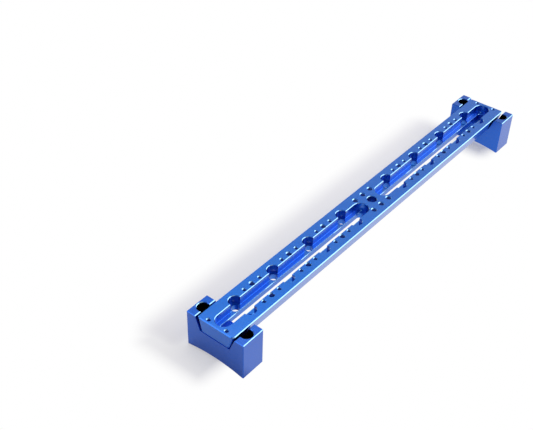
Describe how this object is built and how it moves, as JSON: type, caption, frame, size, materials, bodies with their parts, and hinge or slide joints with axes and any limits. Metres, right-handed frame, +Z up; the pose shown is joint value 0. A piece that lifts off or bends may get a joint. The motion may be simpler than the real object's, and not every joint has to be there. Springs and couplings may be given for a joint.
{
  "type": "telescope dovetail bar",
  "caption": "Long slotted dovetail bar of blue anodised aluminium, carried at both ends in channelled saddle blocks with hollowed undersides that seat on a telescope tube.",
  "frame": {"origin": "under the middle of the whole part, on the floor it stands on", "axes": "+X along the bar from its near to its far end, +Y across it to the left, +Z up"},
  "size_m": [0.5034, 0.069, 0.0434],
  "materials": {
    "bar_anodised": "satin blue anodised, bright cut edges",
    "block_anodised": "satin blue anodised, bright cut edges"
  },
  "bodies": {
    "root": {"dovetail_bar": "bar_anodised", "near_end_block": "block_anodised", "far_end_block": "block_anodised"}
  },
  "joints": []
}
